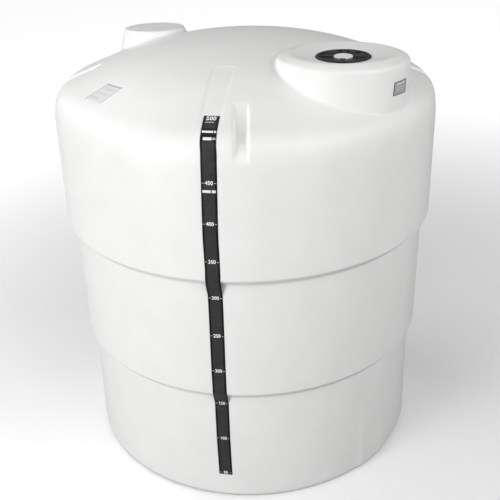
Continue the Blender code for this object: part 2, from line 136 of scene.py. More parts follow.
# Azimuths of the skin's columns: ranges (start, end, step), and the step between the ranges
COARSE_AZIMUTH = 3.4
FINE_AZIMUTHS = (
    (-185.2, -177.6, 0.38),
    (-109.4, -87.6, 0.36),
    (-81.5, -54.6, 3.2),
    (-54.6, -36.6, 0.75),
    (-36.6, -5.5, 3.2),
    (-5.2, 2.4, 0.38),
    (84.8, 92.4, 0.38),
    (113.0, 164.5, 3.0),
)

# The skin's rows are closer from this height over a lip downwards
LIP_MARGIN = 0.012

# Screw lid, in heights above the floor
LID_RADIUS = 0.0855
LID_FACE = 1.5109
LID_RIM_TOP = 1.5154
LID_UNDER = 1.5064
LID_FOOT = 1.4968
SKIRT_INNER = 0.0790
RIM_INNER = 0.0765
RIB_AZIMUTHS = (-10, 80, 170, 260)
RIB_HALF_WIDTH = 0.0088
RIB_HEIGHT = 0.0034
RIB_ENDS = (0.0325, 0.0752)
GRIP_COUNT = 36
GRIP_DEPTH = 0.0012
LID_SOFT = 0.0012
COLLAR_INNER = 0.066
COLLAR_OUTER = 0.0733
COLLAR_HEIGHTS = (1.4921, 1.5026)
THREAD_PITCH = 0.0042
THREAD_DEPTH = 0.0011
THREAD_SOFT = 0.001

# The lid's white centre: how far it stands off the lid's face, and its outline over its foot
CENTRE_GAP = 0.0003
CENTRE_CORNERS = (
    (0, 0.0006),
    (0.0026, 0.0006),
    (0.0030, 0.0029),
    (0.0215, 0.0024),
    (0.0235, 0.0039),
    (0.0285, 0.0039),
    (0.0300, 0.0022),
    (0.0300, 0),
    (0, 0),
)
CENTRE_EASES = (0.0003, 0.0003, 0.0007, 0.0007, 0.0012, 0.0010, 0.0002)

# Level strip. Its course is (height, azimuth) points up the tank, and at each step it crosses on
# a straight line from the lip's height to a lower one
STRIP_WIDTH = 0.048
STRIP_TOP_RADIUS = 0.557
STRIP_FOOT = 0.102
STRIP_LIFT = 0.0005
STRIP_FILM = 0.0004
CRINKLE = 0.0008
CRINKLE_HEIGHT = 1.155
STRIP_BRIDGES = ((UPPER_LIP_HEIGHT, 0.858), (MIDDLE_LIP_HEIGHT, 0.424))
STRIP_COURSE = (
    (0.10, -99.90),
    (0.20, -100.04),
    (0.27, -100.12),
    (0.58, -100.13),
    (0.80, -99.97),
    (0.90, -99.95),
    (0.96, -99.80),
    (1.07, -99.91),
    (1.17, -99.74),
    (1.27, -99.50),
    (1.335, -99.43),
    (1.378, -99.75),
    (1.408, -100.13),
)
LEVEL_HEIGHTS = (1.2476, 1.1176, 0.9909, 0.8489, 0.7067, 0.5688, 0.4193, 0.2668, 0.1106)
LEVEL_STEP = 50

# Print on the strip: across, down, size and stretch of the top number, then bars as
# (left, right, top, height), and the ticks on both sides of each number
TOP_NUMBER = (0.0, 0.0128, 0.0235, 0.86)
PRINT_BARS = (
    (-0.0160, 0.0100, 0.0285, 0.0022),
    (-0.0200, 0.0130, 0.0670, 0.0085),
    (0.0150, 0.0215, 0.0670, 0.0085),
    (-0.0150, 0.0105, 0.0915, 0.0095),
    (0.0125, 0.0215, 0.0930, 0.0018),
    (0.0125, 0.0215, 0.0970, 0.0018),
    (-0.0200, 0.0052, 0.2494, 0.0083),
    (0.0080, 0.0198, 0.2494, 0.0083),
)
NUMBER_SIZE = 0.0172
NUMBER_STRETCH = 0.92
NUMBER_BOLD = 0.034
TICKS = ((-0.0215, -0.0150), (0.0150, 0.0215))
TICK_HEIGHT = 0.0012
PRINT_LIFT = 0.00035
PRINT_FILM = 0.00012
BLACK_EDGE = 0.145
BLACK_BAND = (0.0575, 0.0912)

# Labels: the bars on them as (low, high, left, right) shares, and their corners from the top left
# round, as (radius, azimuth) on the top and (height, azimuth about its axis) on the manway
CROWN_LABEL_BARS = ((0.70, 0.82, 0.1, 0.9), (0.44, 0.56, 0.1, 0.9), (0.18, 0.30, 0.1, 0.6))
BOSS_LABEL_BARS = ((0.74, 0.85, 0.20, 0.85), (0.50, 0.53, 0.20, 0.85), (0.34, 0.37, 0.20, 0.85))
CROWN_LABEL = ((0.5056, -150.8), (0.4975, -140.8), (0.5859, -141.3), (0.5947, -150.7))
BOSS_LABEL = ((1.4685, -50.2), (1.4685, -31.9), (1.4257, -32.0), (1.4278, -51.4))
LABEL_LIFT = 0.0006
LABEL_FILM = 0.0004
LABEL_POINTS = 13

# Finishes: darkest and lightest colour, roughness range, the grain's (scale, broad share, fine
# height), dust, the scuffs' (scale, amount) and colour, the bump's (strength, distance), and the
# level of the shader's own reflection where it isn't 0.5. A colour is its red and green, which
# are the same, and its blue.
FINISHES = {
    "moulded_skin": dict(
        dark=(0.805, 0.795), light=(0.865, 0.858), rough=(0.40, 0.52), grain=(260.0, 0.035, 0.22),
        dust=0.10, scuffs=(3.2, 0.16), scuffed=(0.74, 0.73), bump=(0.16, 0.0012),
    ),
    "white_fitting": dict(
        dark=(0.80, 0.79), light=(0.87, 0.86), rough=(0.28, 0.42), grain=(900.0, 0.05, 0.4),
        dust=0.12, scuffs=(40.0, 0.25), scuffed=(0.68, 0.66), bump=(0.15, 0.0003),
    ),
    "black_plastic": dict(
        dark=(0.006, 0.006), light=(0.012, 0.012), rough=(0.20, 0.32), grain=(1100.0, 0.06, 0.5),
        dust=0.015, scuffs=(45.0, 0.5), scuffed=(0.06, 0.06), bump=(0.25, 0.0003), sheen=0.40,
    ),
    "strip_film": dict(
        dark=(0.022, 0.023), light=(0.038, 0.039), rough=(0.34, 0.48), grain=(700.0, 0.04, 0.3),
        dust=0.02, scuffs=(28.0, 0.35), scuffed=(0.10, 0.10), bump=(0.18, 0.0003), sheen=0.30,
    ),
    "white_print": dict(
        dark=(0.84, 0.83), light=(0.92, 0.91), rough=(0.35, 0.50), grain=(800.0, 0.08, 0.3),
        dust=0.03, scuffs=(60.0, 0.35), scuffed=(0.40, 0.40), bump=(0.10, 0.0002),
    ),
    "faint_label": dict(
        dark=(0.66, 0.66), light=(0.71, 0.71), rough=(0.30, 0.45), grain=(500.0, 0.05, 0.3),
        dust=0.10, scuffs=(24.0, 0.4), scuffed=(0.72, 0.71), bump=(0.15, 0.0003),
    ),
    "grey_label": dict(
        dark=(0.38, 0.38), light=(0.43, 0.43), rough=(0.28, 0.42), grain=(500.0, 0.05, 0.3),
        dust=0.05, scuffs=(40.0, 0.4), scuffed=(0.48, 0.48), bump=(0.15, 0.0003),
    ),
    "seal_rubber": dict(
        dark=(0.018, 0.018), light=(0.034, 0.034), rough=(0.62, 0.80), grain=(1400.0, 0.05, 0.6),
        dust=0.10, scuffs=(60.0, 0.3), scuffed=(0.08, 0.08), bump=(0.30, 0.0003),
    ),
}
DUST_COLOUR = (0.60, 0.59, 0.57, 1)
STRIP_BLACK = (0.002, 0.002, 0.002, 1)
FAINT_BARS = (0.59, 0.59, 0.59, 1)
FAINT_BORDER = (0.78, 0.78, 0.78, 1)
GREY_BARS = (0.66, 0.66, 0.66, 1)
GREY_BORDER = (0.13, 0.13, 0.13, 1)
WHITE = (1, 1, 1, 1)

# Camera: its focal length in pixels of the 500 pixel frame, its sensor in millimetres, its place,
# and its turns in radians
FOCAL_PIXELS = 780
FRAME_PIXELS = 500
SENSOR = 36
CAMERA_PLACE = (0, -2.7437, 2.1092)
CAMERA_PITCH = 0.4792
CAMERA_ROLL = -0.0294
CAMERA_YAW = 0.0005

# Studio: soft lights as (name, place, side of the square, power), the strength of the surround's
# light and of what the camera sees of it, and the floor with its glow away from the tank
LIGHTS = (
    ("front_left", (-2.70, -2.70, 3.19), 3.0, 50),
    ("low_left", (-3.18, -3.18, 1.25), 1.6, 86),
    ("front_right", (2.51, -2.99, 3.05), 3.0, 79),
    ("right", (3.84, -1.03, 2.91), 3.0, 36),
    ("back_left", (-2.99, 1.72, 3.69), 3.0, 84),
    ("top", (0, -0.10, 4.40), 3.0, 7),
)
LIGHT_AIM = (0, 0, 0.8)
SURROUND_LIGHT = 0.18
SURROUND_SEEN = 0.92
FLOOR_HALF = 30
FLOOR_SEEN = (0.93, 0.96)
FLOOR_BOUNCE = 0.38
GLOW_REACH = (0.9, 5.5)
GLOW_STRENGTH = 0.78


# Outlines: (radius, height) points from the axis outwards and down


def compass(turn):
    """Unit directions in plan of these angles in radians."""
    return np.stack([np.cos(turn), np.sin(turn)], -1)


def placed(radius, turn, height):
    """Points from their radius, their angle in radians and their height."""
    return np.stack([radius * np.cos(turn), radius * np.sin(turn), height], -1)


def eased(points, reaches, steps=6):
    """The line through these points, with each inner corner rounded.

    A corner is replaced by the quadratic curve that leaves one side and meets the other at the
    given reach from the corner, with the corner itself as its control point.
    """
    points = [np.array(p, float) for p in points]
    share = np.linspace(0, 1, steps + 1)[:, None]
    parts = [points[0]]
    for before, here, after, reach in zip(points, points[1:], points[2:], reaches):
        start = here + (before - here) * reach / np.linalg.norm(before - here)
        end = here + (after - here) * reach / np.linalg.norm(after - here)
        parts.append((1 - share) ** 2 * start + 2 * share * (1 - share) * here + share**2 * end)
    return np.vstack([*parts, points[-1]])


def crown_height(radius):
    """Height of the crowned top: its edge plus a rise that falls with a power of the radius."""
    return CROWN_EDGE_HEIGHT + CROWN_RISE * (1 - (radius / CROWN_EDGE_RADIUS) ** CROWN_POWER)


def shoulder_curve(steps):
    """Cubic curve from the crown to the wall, tangent to both."""
    slope = -CROWN_RISE * CROWN_POWER / CROWN_EDGE_RADIUS
    slope *= (SHOULDER_START_RADIUS / CROWN_EDGE_RADIUS) ** (CROWN_POWER - 1)
    start = np.array([SHOULDER_START_RADIUS, crown_height(SHOULDER_START_RADIUS)])
    along = np.array([1, slope]) / math.hypot(1, slope)
    foot = np.array([UPPER_TOP_RADIUS, SHOULDER_FOOT_HEIGHT])
    share = np.linspace(0, 1, steps + 1)[:, None]
    rest = 1 - share
    return (
        rest**3 * start
        + 3 * rest**2 * share * (start + SHOULDER_REACH_IN * along)
        + 3 * rest * share**2 * (foot + np.array([0, SHOULDER_REACH_UP]))
        + share**3 * foot
    )


def distances(points):
    """Distance along the line to each of its points."""
    return np.r_[0, np.cumsum(np.linalg.norm(np.diff(points, axis=0), axis=1))]


class Outline:
    """A dense outline that can be read at any length along it."""

    def __init__(self, points, longest=0.0015):
        points = np.asarray(points, float)
        points = points[np.r_[True, np.diff(distances(points)) > 1e-9]]
        known = distances(points)
        self.length = np.linspace(0, known[-1], int(known[-1] / longest) + 1)
        self.length = np.unique(np.r_[self.length, known])
        self.radius = np.interp(self.length, known, points[:, 0])
        self.height = np.interp(self.length, known, points[:, 1])
        run = np.gradient(np.c_[self.radius, self.height], self.length, axis=0)
        run /= np.linalg.norm(run, axis=1)[:, None]
        self.outward = np.c_[-run[:, 1], run[:, 0]]

    def read(self, length, first, second):
        """Two values known along the outline, at this length."""
        return np.interp(length, self.length, first), np.interp(length, self.length, second)

    def at(self, length):
        """Radius and height at this length."""
        return self.read(length, self.radius, self.height)

    def facing(self, length):
        """The outward direction, as (radial, upward), at this length."""
        return self.read(length, *self.outward.T)

    def length_at_height(self, height):
        """Length at which a falling outline reaches this height."""
        return float(np.interp(-height, -self.height, self.length))

    def length_at_radius(self, radius):
        """Length at this radius, on the crown and shoulder, where the radius grows."""
        last = int(np.argmax(self.height < SHOULDER_FOOT_HEIGHT))
        return np.interp(radius, self.radius[:last], self.length[:last])

    def height_at_radius(self, radius):
        """Height of the crown and shoulder at this radius."""
        return self.at(self.length_at_radius(radius))[1]


def step_down(lip_radius, lip_height, next_radius):
    """Corners of a step: its lip, the crease under it, and the start of the wall below."""
    crease = lip_height - STEP_DROP
    return [(lip_radius, lip_height), (next_radius, crease), (next_radius, crease - OVERHANG)]


UPPER_STEP = step_down(UPPER_FOOT_RADIUS, UPPER_LIP_HEIGHT, MIDDLE_TOP_RADIUS)
MIDDLE_STEP = step_down(MIDDLE_FOOT_RADIUS, MIDDLE_LIP_HEIGHT, LOWER_TOP_RADIUS)


def top_outline():
    """Crown, shoulder, upper wall and the flare under its lip, down to the middle section."""
    radii = np.linspace(0, SHOULDER_START_RADIUS, 400)
    crown = np.c_[radii, crown_height(radii)]
    shoulder = shoulder_curve(240)
    below = eased([shoulder[-1], *UPPER_STEP], (LIP_EASE, CREASE_EASE))
    return Outline(np.vstack([crown, shoulder[1:], below[1:]]))


def middle_outline():
    """The middle wall and the flare under its lip, down to the lower section."""
    return Outline(eased([UPPER_STEP[-1], *MIDDLE_STEP], (LIP_EASE, CREASE_EASE)))


def lower_outline():
    """The lower wall, the rounded corner at its foot and the flat base."""
    return Outline(eased([MIDDLE_STEP[-1], (LOWER_FOOT_RADIUS, 0), (0, 0)], (BASE_CORNER,), 8))


def spaced(*stretches):
    """Values that run through the stretches (start, end, longest step), each end once."""
    values = []
    for start, end, step in stretches:
        count = max(1, math.ceil(abs(end - start) / step - 1e-6))
        values.append(np.linspace(start, end, count + 1)[:-1])
    values.append([stretches[-1][1]])
    return np.concatenate(values)


def divided(points, longest):
    """The line through these points, with its longer runs divided evenly."""
    points = np.asarray(points, float)
    known = distances(points)
    length = spaced(*((a, b, longest) for a, b in zip(known, known[1:]) if b > a))
    return np.c_[np.interp(length, known, points[:, 0]), np.interp(length, known, points[:, 1])]


# The skin: a turned outline with its moulded details


def soft_step(value, soft):
    """0 below -soft, 1 above +soft, and a smooth cubic between."""
    share = np.clip((value + soft) / (2 * soft), 0, 1)
    return share * share * (3 - 2 * share)


def stripe(radius, turn, azimuth, half_width, soft):
    """1 on a bar of constant width along the azimuth's radius, with soft sides."""
    away = turn - math.radians(azimuth)
    share = 1 - soft_step(np.abs(radius * np.sin(away)) - half_width, soft)
    return np.where(np.cos(away) > 0, share, 0)


def slot_floor(outline):
    """Start of the straight slot floor, its upward normal, and the lengths at its two ends."""
    start_length = outline.length_at_radius(SLOT_INNER_RADIUS)
    end_length = outline.length_at_height(SLOT_FOOT_HEIGHT)
    start = np.array(outline.at(start_length))
    run = np.array(outline.at(end_length)) - start
    run /= np.linalg.norm(run)
    return start, np.array([-run[1], run[0]]), start_length, end_length


def slot_depth(outline, radius, height, length):
    """How far a slot's floor lies below the skin: a share of the chord's depth, and a sink.

    The chord joins the slot's two ends across the shoulder. The shallow sink rises quickly at
    the upper end and fades slowly at the lower one.
    """
    start, normal, start_length, end_length = slot_floor(outline)
    chord = (radius - start[0]) * normal[0] + (height - start[1]) * normal[1]
    share = (length - start_length) / (end_length - start_length)
    sink = soft_step(share - 0.05, 0.05) * (1 - soft_step(share - 0.86, 0.14))
    return SLOT_SHARE * np.maximum(chord, 0) * soft_step(share - 0.02, 0.02) + SLOT_SINK * sink


def plan_side(point, start, end):
    """Signed distance in plan of points from the line start-end, positive on its left."""
    run = (end - start) / np.linalg.norm(end - start)
    return run[0] * (point[..., 1] - start[1]) - run[1] * (point[..., 0] - start[0])


def panel_share(point):
    """1 inside the panel's outline in plan, falling to 0 over its soft edge, and nothing below."""
    corners = [placed(r, math.radians(a), 0)[:2] for r, a in PANEL_CORNERS]
    share = np.ones(point.shape[:-1])
    for start, end in ((0, 3), (1, 0), (2, 1)):
        share = share * soft_step(plan_side(point, corners[start], corners[end]), PANEL_SOFT)
    middle, soft = PANEL_FADE
    fade = 1 - soft_step(np.hypot(point[..., 0], point[..., 1]) - middle, soft)
    return share * np.where(point[..., 2] > 1.2, fade, 0)


def band_share(turn, radius, height):
    """1 on the band under the level strip, from the shoulder down."""
    share = stripe(radius, turn, BAND_AZIMUTH, BAND_HALF_WIDTH, PANEL_SOFT)
    return share * (1 - soft_step(height - BAND_TOP, BAND_FADE))


def top_skin(outline, azimuth, length):
    """Points of the top section's outer face over azimuth and length along its outline.

    Turned outline, less each slot's depth along the chord's normal inside the slot's width, less
    the panel's and the band's depth along the skin's own normal.
    """
    turn = np.radians(azimuth)
    radius, height = outline.at(length)
    out, up = outline.facing(length)
    point = placed(radius, turn, height)
    normal = slot_floor(outline)[1]
    depth = slot_depth(outline, radius, height, length)
    sunk = np.zeros_like(point)
    for slot in SLOT_AZIMUTHS:
        inside = stripe(radius, turn, slot, SLOT_HALF_WIDTH, SLOT_SOFT) * depth
        sunk += inside[..., None] * placed(normal[0], math.radians(slot), normal[1])
    panel = panel_share(point) * PANEL_DEPTH + band_share(turn, radius, height) * BAND_DEPTH
    return point - sunk - panel[..., None] * placed(out, turn, up)


def banded(outline, turn, length):
    """Radius and height of the turned outline, less the band under the level strip."""
    radius, height = outline.at(length)
    return radius - band_share(turn, radius, height) * BAND_DEPTH * (height > 0.02), height


def plain_skin(outline, azimuth, length):
    """Turned outline less the band under the level strip."""
    turn = np.radians(azimuth)
    radius, height = banded(outline, turn, length)
    return placed(radius, turn, height)


def lower_skin(outline, azimuth, length):
    """The lower section, with the outlet flat as the outer of the wall and three planes.

    The face is a plane that leans back as it rises, and a side plane falls away beyond each edge
    of it. The larger distance is taken, rounded where the two are nearly equal.
    """
    turn = np.radians(azimuth)
    away = turn - math.radians(OUTLET_AZIMUTH)
    radius, height = banded(outline, turn, length)
    across = np.abs(radius * np.sin(away))
    distance = OUTLET_FOOT_DISTANCE - OUTLET_LEAN * height
    distance = distance - OUTLET_SIDE_SLOPE * np.maximum(across - OUTLET_HALF_FACE, 0)
    distance = distance - OUTLET_FADE * np.maximum(height - OUTLET_TOP, 0)
    near = np.cos(away) > 0.8
    flat = np.where(near, distance / np.where(near, np.cos(away), 1), 0)
    corner = np.clip((LOWER_FOOT_RADIUS - radius) / BASE_CORNER, 0, 1)
    flat = flat - BASE_CORNER * np.where(height < BASE_CORNER, corner, 0)
    rounded = (radius + flat + np.sqrt((flat - radius) ** 2 + OUTLET_SOFT**2)) / 2
    grown = np.maximum(rounded - OUTLET_SOFT**2, radius)
    return placed(np.where(near & (height > 1e-4), grown, radius), turn, height)


# Patches round the bosses


def patch_border(azimuths, lengths, patch, ends):
    """(azimuth, length) points round a patch, once each, on the columns and rows of the skin."""
    across = azimuths[(azimuths >= patch[0] - 1e-9) & (azimuths <= patch[1] + 1e-9)]
    along = lengths[(lengths >= ends[0] - 1e-9) & (lengths <= ends[1] + 1e-9)]
    foot = np.c_[across[:-1], np.full(len(across) - 1, along[-1])]
    right = np.c_[np.full(len(along) - 1, across[-1]), along[:0:-1]]
    head = np.c_[across[:0:-1], np.full(len(across) - 1, along[0])]
    left = np.c_[np.full(len(along) - 1, across[0]), along[:-1]]
    return np.vstack([foot, right, head, left])


def cubic_rows(start, start_pull, end, end_pull):
    """Rows of the cubic that leaves start and meets end, tangent to the two pulls."""
    t = np.linspace(0, 1, 9)[:, None, None]
    leave = (2 * t**3 - 3 * t**2 + 1) * start + (t**3 - 2 * t**2 + t) * start_pull
    return leave + (3 * t**2 - 2 * t**3) * end + (t**3 - t**2) * end_pull


def skirt_rows(outline, foot, border):
    """Rows of the skin from the boss's foot to the patch's border.

    They share out the way in the skin's unrolled plane, in which a point lies at its length along
    the outline in the direction of its azimuth.
    """
    length = outline.length_at_radius(np.linalg.norm(foot, axis=1))
    turn = np.arctan2(foot[:, 1], foot[:, 0])
    start = length[:, None] * compass(turn)
    end = border[:, 1:] * compass(np.radians(border[:, 0]))
    t = np.linspace(0, 1, 9)[1:, None, None]
    plane = start + t * (end - start)
    azimuth = np.degrees(np.arctan2(plane[..., 1], plane[..., 0]))
    rows = top_skin(outline, azimuth, np.linalg.norm(plane, axis=-1))
    rows[-1] = top_skin(outline, border[:, 0], border[:, 1])
    return rows


def leaned(flat, crest, rearward, lean):
    """Heights of the rows with the crest tipped to the front.

    flat holds (distance, height) points and rearward the part of each column's direction that
    points to the rear. The first number of lean times the distance towards the front is added.
    That fades out from the crest down the side, and inwards between the other two, as radii.
    """
    run = np.linalg.norm(np.diff(flat, axis=0), axis=2)
    walked = np.cumsum(np.vstack([np.zeros_like(run[:1]), run]), 0)
    past = np.clip((walked - walked[crest]) / (walked[-1] - walked[crest]), 0, 1)
    tip, near, far = lean
    share = np.clip((flat[..., 0] - near) / (far - near), 0, 1)
    share = np.where(past > 0, 1 - past * past * (3 - 2 * past), share * share * (3 - 2 * share))
    return flat[..., 1] - tip * share * flat[..., 0] * rearward


def boss_patch(outline, border, centre, profile, fillet, edge, lean):
    """A boss and the skin round it, as rows of points from its middle out to the patch's border.

    Each column lies in one direction from the boss's axis. profile is the (distance, height)
    line from the boss's middle over its crest and down its side, and edge the two lengths below
    the crest between which the side turns down. The side is followed until it nears the skin,
    and then a cubic that is tangent to both runs out on the skin. fillet is the radius that sets
    how far that cubic reaches, and lean tips the crest as the function leaned says.
    """
    crest = int(np.argmax(profile[:, 1] + 1e-6 * profile[:, 0]))
    side = Outline(profile[crest:], 0.0006)
    heading = top_skin(outline, border[:, 0], border[:, 1])[:, :2] - centre
    heading /= np.linalg.norm(heading, axis=1)[:, None]

    def skin_height(distance):
        plan = centre + distance[..., None] * heading
        return outline.height_at_radius(np.linalg.norm(plan, axis=-1))

    def skin_direction(distance, step=0.002):
        rise = skin_height(distance + step) - skin_height(distance - step)
        slope = rise / (2 * step)
        return np.stack([np.ones_like(slope), slope], -1) / np.hypot(1, slope)[:, None]

    def side_direction(length):
        out, up = side.facing(length)
        return np.stack([up, -out], -1)

    reach = np.broadcast_to(side.radius[:, None], (len(side.radius), len(border)))
    gap = side.height[:, None] - skin_height(reach)
    last = (gap > 0).sum(0) - 1
    columns = np.arange(len(border))
    upper, lower = gap[last, columns], gap[last + 1, columns]
    run = side.length[last + 1] - side.length[last]
    meeting = side.length[last] + upper / (upper - lower) * run

    distance = side.at(meeting)[0]
    leaving = skin_direction(distance)
    bend = np.arccos(np.clip((side_direction(meeting) * leaving).sum(-1), -1, 1))
    tangent = np.minimum(fillet * np.tan(bend / 2), 0.8 * meeting)
    begin = meeting - tangent
    end = distance + tangent * leaving[:, 0]
    start_point = np.stack(side.at(begin), -1)
    end_point = np.stack([end, skin_height(end)], -1)
    pull = np.linalg.norm(end_point - start_point, axis=1)[:, None] * 1.1
    leave_pull, land_pull = side_direction(begin) * pull, skin_direction(end) * pull

    first, second = np.minimum(edge[0], 0.45 * begin), np.minimum(edge[1], 0.75 * begin)
    t = np.linspace(0, 1, 10, endpoint=False)[:, None]
    down = [t[::2] * first, first + t * (second - first), second + t * (begin - second)]
    flat = np.vstack([
        np.repeat(profile[:crest, None, :], len(border), 1),
        np.stack(side.at(np.vstack(down)), -1),
        cubic_rows(start_point, leave_pull, end_point, land_pull),
    ])
    height = leaned(flat, crest, heading[:, 1], lean)
    body = np.concatenate([centre + flat[..., :1] * heading, height[..., None]], -1)
    return np.concatenate([body, skirt_rows(outline, body[-1, :, :2], border)])


# Meshes


def grid_faces(rows, columns, closed=True, start=0):
    """Quads of a grid whose points are numbered row by row, as an array of four numbers each."""
    row = np.arange(rows - 1)[:, None]
    column = np.arange(columns if closed else columns - 1)[None, :]
    after = (column + 1) % columns
    corners = (row * columns + column, row * columns + after)
    below = ((row + 1) * columns + after, (row + 1) * columns + column)
    return np.stack([*corners, *below], -1).reshape(-1, 4) + start


def linked(name, data):
    """A new object of the scene with this name and data."""
    obj = bpy.data.objects.new(name, data)
    bpy.context.scene.collection.objects.link(obj)
    return obj


def smoothed(mesh, sharp=38):
    """Smooth shading, with the edges that bend by more than this many degrees kept sharp."""
    mesh.shade_smooth()
    mesh.set_sharp_from_angle(angle=math.radians(sharp))


def add_mesh(name, points, faces, sharp=38, uv=None, merge=True):
    """A mesh object from points and faces, with doubled points merged and faces outwards.

    uv gives each point's place in the UV map. An open sheet, which has one, isn't merged, and has
    all its faces turned over. A mesh that isn't to be merged keeps its faces as they are.
    """
    mesh = bpy.data.meshes.new(name)
    mesh.from_pydata(np.asarray(points, float).reshape(-1, 3), [], faces)
    if uv is not None:
        corners = np.zeros(len(mesh.loops), int)
        mesh.loops.foreach_get("vertex_index", corners)
        layer = mesh.uv_layers.new(name="UVMap")
        layer.data.foreach_set("uv", np.asarray(uv, float).reshape(-1, 2)[corners].ravel())
        mesh.flip_normals()
    elif merge:
        shape = bmesh.new()
        shape.from_mesh(mesh)
        bmesh.ops.remove_doubles(shape, verts=shape.verts, dist=2e-6)
        bmesh.ops.recalc_face_normals(shape, faces=shape.faces)
        shape.to_mesh(mesh)
        shape.free()
    smoothed(mesh, sharp)
    return linked(name, mesh)


def add_grid(name, points):
    """A mesh object from a grid of points whose rows run all the way round."""
    return add_mesh(name, points, grid_faces(*points.shape[:2]).tolist())


def add_thickness(obj, thickness):
    """Gives a surface its thickness, inwards from its outer face."""
    solid = obj.modifiers.new("Thickness", "SOLIDIFY")
    solid.thickness = thickness
    solid.offset = -1
    return obj


def add_sheet(name, points, uv, thickness):
    """A thin open sheet from a grid of points and their places in its UV map."""
    faces = grid_faces(*uv.shape[:2], closed=False)
    return add_thickness(add_mesh(name, points, faces.tolist(), uv=uv), thickness)


def walled(obj):
    """The object's skin made a wall of the tank, with its edges kept sharp."""
    add_thickness(obj, WALL)
    skin = obj.data
    graph = bpy.context.evaluated_depsgraph_get()
    mesh = bpy.data.meshes.new_from_object(obj.evaluated_get(graph))
    obj.modifiers.clear()
    obj.data = mesh
    bpy.data.meshes.remove(skin)
    mesh.name = obj.name
    smoothed(mesh)
    return obj


def dress(obj, body, slot, material, *nodes):
    """Gives a new piece its material and its body, and hides the CAD parts that it stands for.
    slot is not used.
    """
    obj.data.materials.append(material)
    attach(obj, body)
    if nodes:
        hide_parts(*nodes)


def around(fine):
    """Azimuths once round, closely spaced in the fine ranges (start, end, step)."""
    stretches = []
    here = fine[0][0]
    for start, end, step in fine:
        if start > here:
            stretches.append((here, start, COARSE_AZIMUTH))
        stretches.append((start, end, step))
        here = end
    stretches.append((here, fine[0][0] + 360, COARSE_AZIMUTH))
    return spaced(*stretches)[:-1]


COLUMNS = around(FINE_AZIMUTHS)


def manway_profile():
    """From the manhole's edge over the well and the dish to the rim, then down the side."""
    return divided(eased(MANWAY_CORNERS, MANWAY_EASES, 5), 0.010)


def rear_profile():
    """From the rear boss's axis over its flat top and rounded edge, then down the side."""
    flare = math.atan2(REAR_FOOT[0] - REAR_TOP[0], REAR_TOP[1] - REAR_FOOT[1])
    turn = np.linspace(math.pi / 2, flare, 12)
    edge = np.array(REAR_TOP) - REAR_ROUND + REAR_ROUND * compass(turn)
    return np.vstack([divided([(0, REAR_TOP[1]), edge[0]], 0.018), edge[1:], [REAR_FOOT]])


def top_section():
    """Crown, shoulder, slots, both bosses and the upper wall, as one moulded skin.

    The skin is left out inside the two patches, which meet it on its own rows and columns. Rows
    are closer over both ends of the panel, the slots, the shoulder and the lip.
    """
    outline = top_outline()
    at = outline.length_at_radius
    down = outline.length_at_height
    head, foot = ends = (at(PATCH_TOP_RADIUS), down(PATCH_FOOT_HEIGHT))
    lip = down(UPPER_LIP_HEIGHT + LIP_MARGIN)
    lengths = spaced(
        (0, head, 0.022),
        (head, at(0.302), 0.013),
        (at(0.302), at(0.320), 0.0022),
        (at(0.320), at(0.488), 0.011),
        (at(0.488), at(0.520), 0.0046),
        (at(0.520), down(1.290), 0.0074),
        (down(1.290), foot, 0.011),
        (foot, lip, 0.045),
        (lip, outline.length[-1], 0.0028),
    )
    columns = np.sort((COLUMNS + 180) % 360 - 180)
    azimuth, length = np.meshgrid(columns, lengths)
    middle_azimuth = (columns + np.roll(columns, -1)) / 2
    middle_length = (lengths[:-1] + lengths[1:]) / 2
    in_rows = (middle_length > head) & (middle_length < foot)
    kept = np.ones((len(lengths) - 1, len(columns)), bool)
    for start, end in (MANWAY_PATCH, REAR_PATCH):
        in_range = (middle_azimuth > start) & (middle_azimuth < end)
        kept &= ~(in_rows[:, None] & in_range)
    # The last column of faces closes the ring, so its middle isn't the mean of its azimuths
    kept[:, -1] = True
    points = [top_skin(outline, azimuth, length).reshape(-1, 3)]
    faces = [grid_faces(*azimuth.shape)[kept.ravel()]]
    bosses = (
        (MANWAY_PATCH, MANWAY, manway_profile(), MANWAY_FILLET, MANWAY_EDGE, MANWAY_LEAN),
        (REAR_PATCH, REAR, rear_profile(), REAR_FILLET, REAR_EDGE, REAR_LEAN),
    )
    for patch, centre, profile, fillet, edge, lean in bosses:
        border = patch_border(columns, lengths, patch, ends)
        rows = boss_patch(outline, border, np.array(centre), profile, fillet, edge, lean)
        faces.append(grid_faces(len(rows), len(border), start=sum(map(len, points))))
        points.append(rows.reshape(-1, 3))
    return add_mesh("top_section", np.vstack(points), np.vstack(faces).tolist())


def middle_section():
    """The middle wall and the flare under its lip."""
    outline = middle_outline()
    lip = outline.length_at_height(MIDDLE_LIP_HEIGHT + LIP_MARGIN)
    lengths = spaced((0, lip, 0.045), (lip, outline.length[-1], 0.0022))
    return add_grid("middle_section", plain_skin(outline, *np.meshgrid(COLUMNS, lengths)))


def lower_section():
    """The lower wall with the outlet flat, its corner at the floor and the flat base."""
    outline = lower_outline()
    flat_top = outline.length_at_height(0.32)
    corner = outline.length_at_height(BASE_CORNER + 0.002)
    lengths = spaced(
        (0, flat_top, 0.04),
        (flat_top, corner, 0.012),
        (corner, corner + 0.04, 0.0035),
        (corner + 0.04, outline.length[-1], 0.15),
    )
    return add_grid("lower_section", lower_skin(outline, *np.meshgrid(COLUMNS, lengths)))


# Level strip: a film that follows the skin, with its marks printed on it


